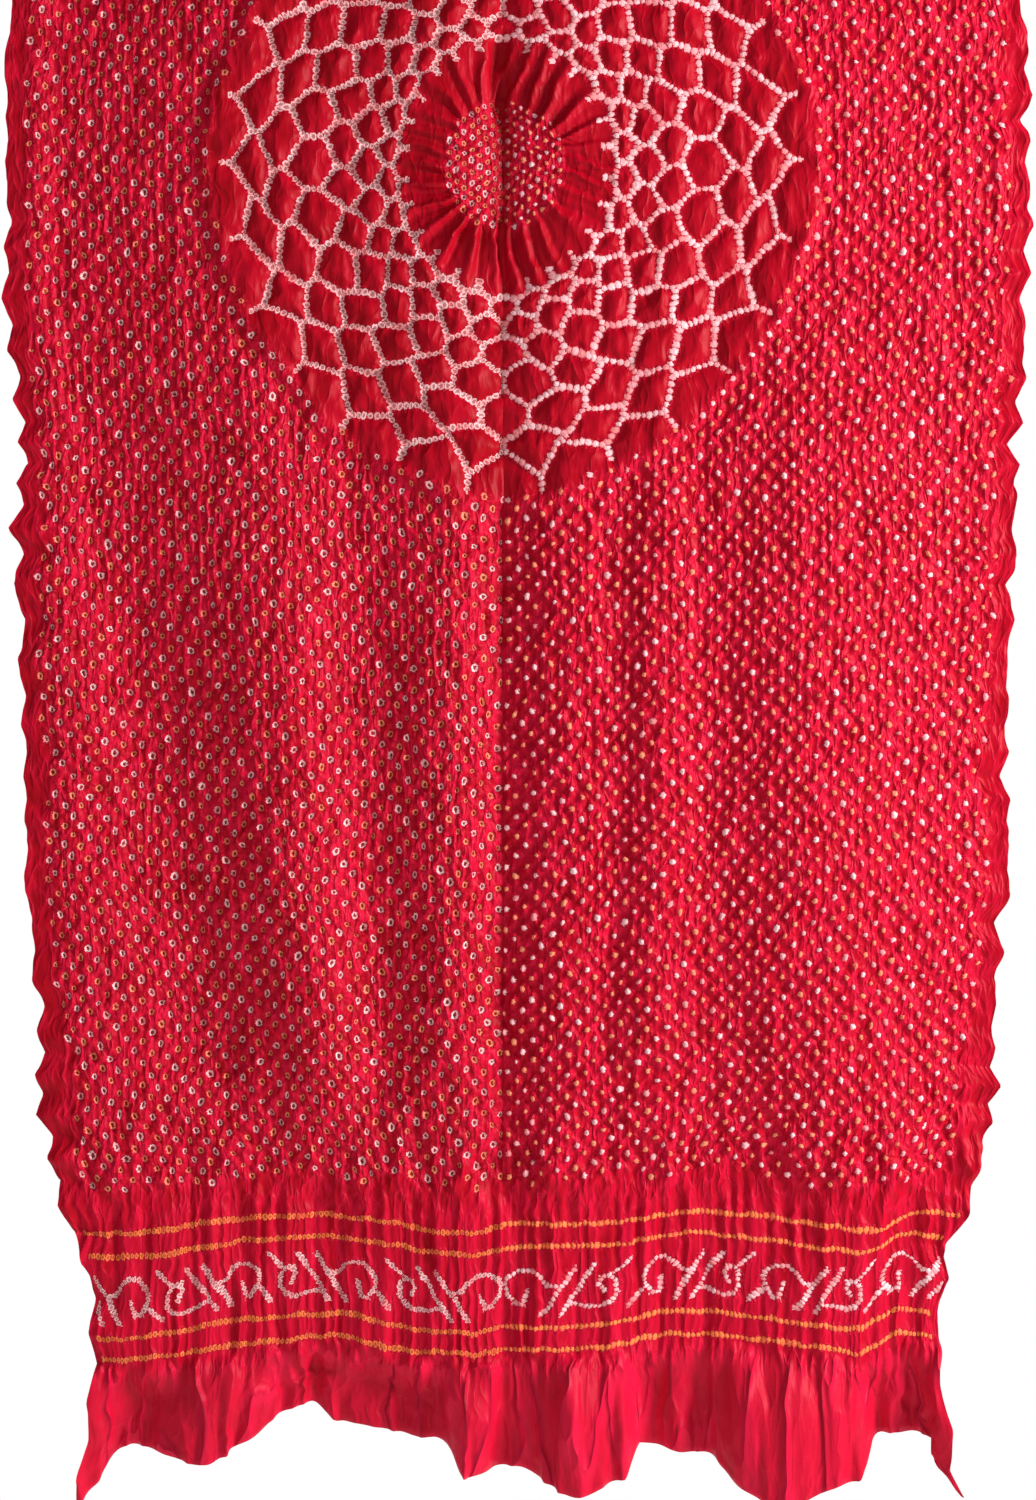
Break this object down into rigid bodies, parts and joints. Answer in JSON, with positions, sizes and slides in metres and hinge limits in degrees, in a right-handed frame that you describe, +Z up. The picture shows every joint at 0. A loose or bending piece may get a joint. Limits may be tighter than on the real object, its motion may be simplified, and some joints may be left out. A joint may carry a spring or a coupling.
{
  "type": "bandhani dupatta",
  "caption": "Long red tie-dyed dupatta hanging by its top edge, with a dotted field, a netted medallion, tied borders and plain ruffled ends.",
  "frame": {"origin": "middle of the cloth's top edge, where it is held", "axes": "+Z up along the hanging cloth, +X across it to the right as one faces it, -Y towards whoever faces it"},
  "size_m": [0.8751, 0.0447, 2.2212],
  "materials": {
    "red_dyed_cloth": "thin crinkled cloth with a soft sheen, dyed red round small tied dots left white and orange"
  },
  "bodies": {
    "root": {"cloth": "red_dyed_cloth"}
  },
  "joints": []
}
